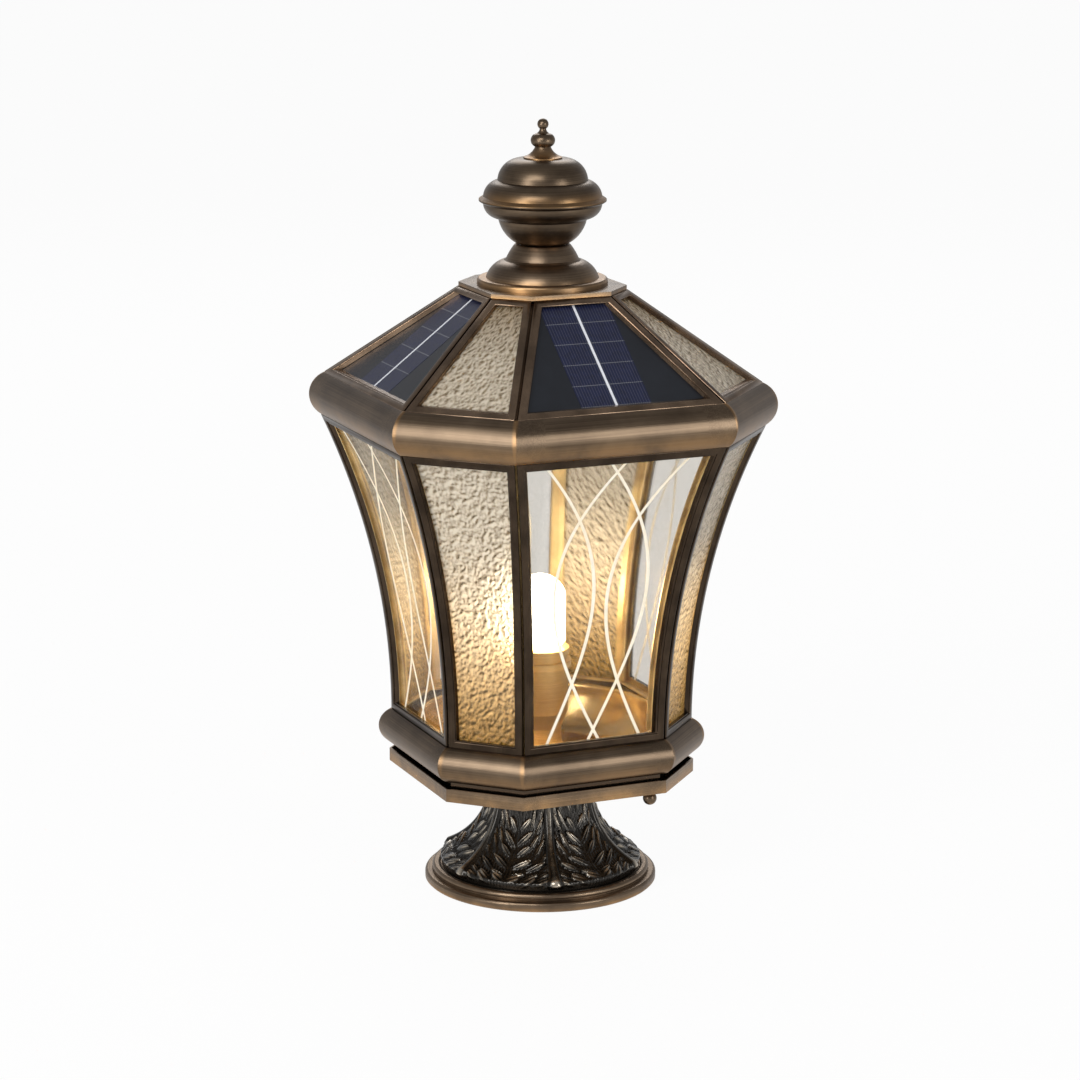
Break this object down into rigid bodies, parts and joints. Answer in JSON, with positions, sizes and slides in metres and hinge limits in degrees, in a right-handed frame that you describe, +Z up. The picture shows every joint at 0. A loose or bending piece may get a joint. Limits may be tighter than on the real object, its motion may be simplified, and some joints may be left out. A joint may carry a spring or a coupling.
{
  "type": "pillar lamp",
  "caption": "Eight-sided flared glass lantern with a solar roof and a turned finial, on a cast leaf foot that bolts to a pillar.",
  "frame": {"origin": "centre of the foot flange's underside", "axes": "+Z up along the lamp's axis; the wide glass faces look along X and Y, and -Y is the front"},
  "size_m": [0.2962, 0.2962, 0.5628],
  "materials": {
    "antique_bronze": "antique bronze, brushed by hand, with paler edges",
    "frame_bronze": "dark antique bronze with worn edges",
    "cast_bronze": "blackened casting with bright rubbed leaf edges",
    "clear_glass": "clear sheet with etched wave lines",
    "hammered_glass": "hammered cathedral glass, warm cream",
    "solar_laminate": "dark laminate with a polycrystalline strip",
    "bulb_glass": "frosted, lit warm white",
    "steel": "zinc plated",
    "battery_sleeve": "shrink sleeve",
    "controller_case": "potted case"
  },
  "bodies": {
    "lamp": {"base_moulding": "antique_bronze", "battery_pack": "battery_sleeve", "body_frame_back": "frame_bronze", "body_frame_back_left": "frame_bronze", "body_frame_back_right": "frame_bronze", "body_frame_front": "frame_bronze", "body_frame_front_left": "frame_bronze", "body_frame_front_right": "frame_bronze", "body_frame_left": "frame_bronze", "body_frame_right": "frame_bronze", "bottom_plate": "steel", "bulb": "bulb_glass", "centre_nipple": "steel", "charge_controller": "controller_case", "cornice": "antique_bronze", "crown_plate": "antique_bronze", "etched_pane_back": "clear_glass", "etched_pane_front": "clear_glass", "etched_pane_left": "clear_glass", "etched_pane_right": "clear_glass", "finial_knob": "antique_bronze", "finial_rod": "steel", "floor_pan": "antique_bronze", "foot_casting": "cast_bronze", "foot_flange": "antique_bronze", "hammered_pane_back_left": "hammered_glass", "hammered_pane_back_right": "hammered_glass", "hammered_pane_front_left": "hammered_glass", "hammered_pane_front_right": "hammered_glass", "holder_cup": "antique_bronze", "holder_ring": "antique_bronze", "lamp_holder": "antique_bronze", "lower_bowl": "antique_bronze", "neck_cap": "antique_bronze", "nipple_nuts": "steel", "rod_nut": "steel", "roof_frame_back": "frame_bronze", "roof_frame_back_left": "frame_bronze", "roof_frame_back_right": "frame_bronze", "roof_frame_front": "frame_bronze", "roof_frame_front_left": "frame_bronze", "roof_frame_front_right": "frame_bronze", "roof_frame_left": "frame_bronze", "roof_frame_right": "frame_bronze", "roof_pane_back_left": "hammered_glass", "roof_pane_back_right": "hammered_glass", "roof_pane_front_left": "hammered_glass", "roof_pane_front_right": "hammered_glass", "solar_panel_back": "solar_laminate", "solar_panel_front": "solar_laminate", "solar_panel_left": "solar_laminate", "solar_panel_right": "solar_laminate", "tray": "antique_bronze", "tray_studs": "steel", "upper_dome": "antique_bronze"},
    "ball_nut_right": {"ball_nut_right": "antique_bronze"},
    "ball_nut_left": {"ball_nut_left": "antique_bronze"}
  },
  "joints": [
    {"name": "ball_nut_right_turn", "type": "hinge", "parent": "lamp", "child": "ball_nut_right", "pos_m": [0.04894, -0.08545, 0.0785], "axis": [0, 0, 1], "continuous": true},
    {"name": "ball_nut_left_turn", "type": "hinge", "parent": "lamp", "child": "ball_nut_left", "pos_m": [-0.04894, 0.08545, 0.0785], "axis": [0, 0, 1], "continuous": true}
  ]
}
